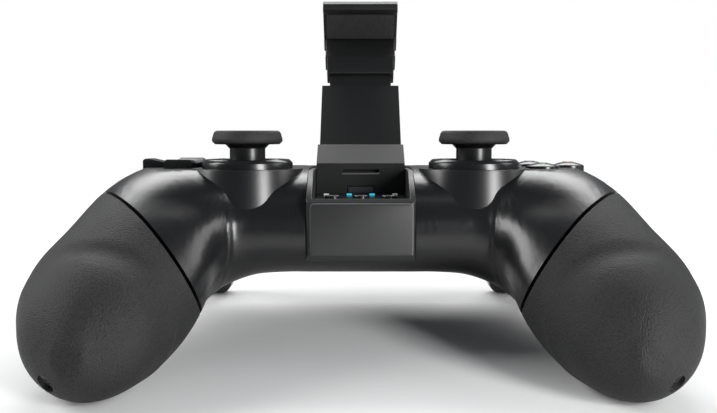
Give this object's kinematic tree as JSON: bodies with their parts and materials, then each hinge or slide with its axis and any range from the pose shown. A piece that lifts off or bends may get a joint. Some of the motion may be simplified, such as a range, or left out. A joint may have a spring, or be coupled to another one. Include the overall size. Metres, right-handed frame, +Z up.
{
  "type": "mobile game controller",
  "caption": "Black handheld game controller with two grips, thumb sticks, direction pad, face buttons, triggers and a sprung fold-out phone clamp.",
  "frame": {"origin": "on the ground plane, under the middle of the overall box", "axes": "+X to the player's right, -Y to the player, +Z up, standing on handle ends and trigger tips"},
  "size_m": [0.1644, 0.1328, 0.0955],
  "materials": {
    "shell": "satin black moulded housing",
    "shell_dark": "satin black underside",
    "grip": "fine pebble texture, matt",
    "module": "flat black box, satin",
    "panel": "smooth dark panel",
    "lights": "small clear light windows",
    "keycap": "black key tops",
    "stick_rubber": "textured thumb rubber",
    "ring": "polished black ring",
    "clamp": "matt black clamp",
    "pad_rubber": "ribbed jaw pads",
    "steel": "plain steel",
    "black_steel": "blackened screws",
    "board": "green circuit board",
    "battery": "foil pouch cell",
    "inner": "inner mouldings",
    "silicone": "grey silicone sheet"
  },
  "bodies": {
    "housing": {"shell_top": "shell", "shell_bottom": "shell_dark", "grip_left": "grip", "grip_right": "grip", "centre_module": "module", "panel_plate": "panel", "panel_lights": "lights", "stick_ring_left": "ring", "stick_ring_right": "ring", "stick_module_left": "inner", "stick_module_right": "inner", "clamp_pin": "steel", "trigger_pins": "steel", "trigger_springs": "steel", "main_board": "board", "battery": "battery", "charging_port": "steel", "key_board_left": "board", "key_board_right": "board", "contact_sheet_left": "silicone", "contact_sheet_right": "silicone", "housing_screws": "black_steel"},
    "clamp": {"clamp_base": "clamp", "lower_jaw_pad": "pad_rubber", "jaw_spring": "steel"},
    "jaw": {"jaw_slider": "clamp", "upper_jaw": "clamp", "upper_jaw_pad": "pad_rubber"},
    "catch": {"fold_catch": "clamp"},
    "direction_pivot": {"d_pad_pivot": "inner"},
    "direction_pad": {"d_pad": "keycap"},
    "rocker_left": {"stick_rocker_left": "inner"},
    "shaft_left": {"stick_shaft_left": "inner"},
    "cap_left": {"stick_cap_left": "stick_rubber"},
    "trigger_left": {"trigger_left": "shell"},
    "bumper_left": {"bumper_left": "shell"},
    "rocker_right": {"stick_rocker_right": "inner"},
    "shaft_right": {"stick_shaft_right": "inner"},
    "cap_right": {"stick_cap_right": "stick_rubber"},
    "trigger_right": {"trigger_right": "shell"},
    "bumper_right": {"bumper_right": "shell"},
    "button_north": {"button_north": "keycap"},
    "button_east": {"button_east": "keycap"},
    "button_south": {"button_south": "keycap"},
    "button_west": {"button_west": "keycap"},
    "key_left": {"key_left": "keycap"},
    "key_home": {"key_home": "keycap"},
    "key_right": {"key_right": "keycap"}
  },
  "joints": [
    {"name": "clamp_fold", "type": "hinge", "parent": "housing", "child": "clamp", "pos_m": [0, 0.00514, 0.0407], "axis": [-1, 0, 0], "range_deg": [0, 45]},
    {"name": "jaw_slide", "type": "slide", "parent": "clamp", "child": "jaw", "axis": [0, 0.7738, 0.6335], "range_m": [0, 0.028], "stiffness_N_per_m": 100, "springref_m": -0.02},
    {"name": "catch_press", "type": "slide", "parent": "clamp", "child": "catch", "axis": [0, 0.9951, -0.0992], "range_m": [0, 0.0012], "stiffness_N_per_m": 500, "springref_m": -0.0005},
    {"name": "direction_tilt_fore_aft", "type": "hinge", "parent": "housing", "child": "direction_pivot", "pos_m": [-0.0508, 0.00707, 0.04186], "axis": [1, 0, 0], "range_deg": [-3.5, 3.5], "stiffness_Nm_per_rad": 0.3},
    {"name": "direction_tilt_side", "type": "hinge", "parent": "direction_pivot", "child": "direction_pad", "pos_m": [-0.0508, 0.00707, 0.04186], "axis": [0, 0.9951, -0.0992], "range_deg": [-3.5, 3.5], "stiffness_Nm_per_rad": 0.3},
    {"name": "stick_left_fore_aft", "type": "hinge", "parent": "housing", "child": "rocker_left", "pos_m": [-0.031, -0.00809, 0.039], "axis": [1, 0, 0], "range_deg": [-15, 15], "stiffness_Nm_per_rad": 0.03},
    {"name": "stick_left_sideways", "type": "hinge", "parent": "rocker_left", "child": "shaft_left", "pos_m": [-0.031, -0.00809, 0.039], "axis": [0, 0.9951, -0.0992], "range_deg": [-15, 15], "stiffness_Nm_per_rad": 0.03},
    {"name": "stick_left_click", "type": "slide", "parent": "shaft_left", "child": "cap_left", "axis": [0, -0.0992, -0.9951], "range_m": [0, 0.0005], "stiffness_N_per_m": 2000, "springref_m": -0.0005},
    {"name": "trigger_left_pull", "type": "hinge", "parent": "housing", "child": "trigger_left", "pos_m": [-0.0499, 0.02545, 0.02259], "axis": [-1, 0, 0], "range_deg": [0, 12], "stiffness_Nm_per_rad": 0.05, "springref_deg": -17.19},
    {"name": "bumper_left_press", "type": "slide", "parent": "housing", "child": "bumper_left", "axis": [0, -0.9951, 0.0992], "range_m": [0, 0.0012], "stiffness_N_per_m": 800, "springref_m": -0.0005},
    {"name": "stick_right_fore_aft", "type": "hinge", "parent": "housing", "child": "rocker_right", "pos_m": [0.031, -0.00809, 0.039], "axis": [1, 0, 0], "range_deg": [-15, 15], "stiffness_Nm_per_rad": 0.03},
    {"name": "stick_right_sideways", "type": "hinge", "parent": "rocker_right", "child": "shaft_right", "pos_m": [0.031, -0.00809, 0.039], "axis": [0, 0.9951, -0.0992], "range_deg": [-15, 15], "stiffness_Nm_per_rad": 0.03},
    {"name": "stick_right_click", "type": "slide", "parent": "shaft_right", "child": "cap_right", "axis": [0, -0.0992, -0.9951], "range_m": [0, 0.0005], "stiffness_N_per_m": 2000, "springref_m": -0.0005},
    {"name": "trigger_right_pull", "type": "hinge", "parent": "housing", "child": "trigger_right", "pos_m": [0.0499, 0.02545, 0.02259], "axis": [-1, 0, 0], "range_deg": [0, 12], "stiffness_Nm_per_rad": 0.05, "springref_deg": -17.19},
    {"name": "bumper_right_press", "type": "slide", "parent": "housing", "child": "bumper_right", "axis": [0, -0.9951, 0.0992], "range_m": [0, 0.0012], "stiffness_N_per_m": 800, "springref_m": -0.0005},
    {"name": "button_north_press", "type": "slide", "parent": "housing", "child": "button_north", "axis": [0, -0.0992, -0.9951], "range_m": [0, 0.001], "stiffness_N_per_m": 700, "springref_m": -0.0005},
    {"name": "button_east_press", "type": "slide", "parent": "housing", "child": "button_east", "axis": [0, -0.0992, -0.9951], "range_m": [0, 0.001], "stiffness_N_per_m": 700, "springref_m": -0.0005},
    {"name": "button_south_press", "type": "slide", "parent": "housing", "child": "button_south", "axis": [0, -0.0992, -0.9951], "range_m": [0, 0.001], "stiffness_N_per_m": 700, "springref_m": -0.0005},
    {"name": "button_west_press", "type": "slide", "parent": "housing", "child": "button_west", "axis": [0, -0.0992, -0.9951], "range_m": [0, 0.001], "stiffness_N_per_m": 700, "springref_m": -0.0005},
    {"name": "key_left_press", "type": "slide", "parent": "housing", "child": "key_left", "axis": [0, -0.0992, -0.9951], "range_m": [0, 0.0005], "stiffness_N_per_m": 1500, "springref_m": -0.0003},
    {"name": "key_home_press", "type": "slide", "parent": "housing", "child": "key_home", "axis": [0, -0.0992, -0.9951], "range_m": [0, 0.0005], "stiffness_N_per_m": 1500, "springref_m": -0.0003},
    {"name": "key_right_press", "type": "slide", "parent": "housing", "child": "key_right", "axis": [0, -0.0992, -0.9951], "range_m": [0, 0.0005], "stiffness_N_per_m": 1500, "springref_m": -0.0003}
  ]
}
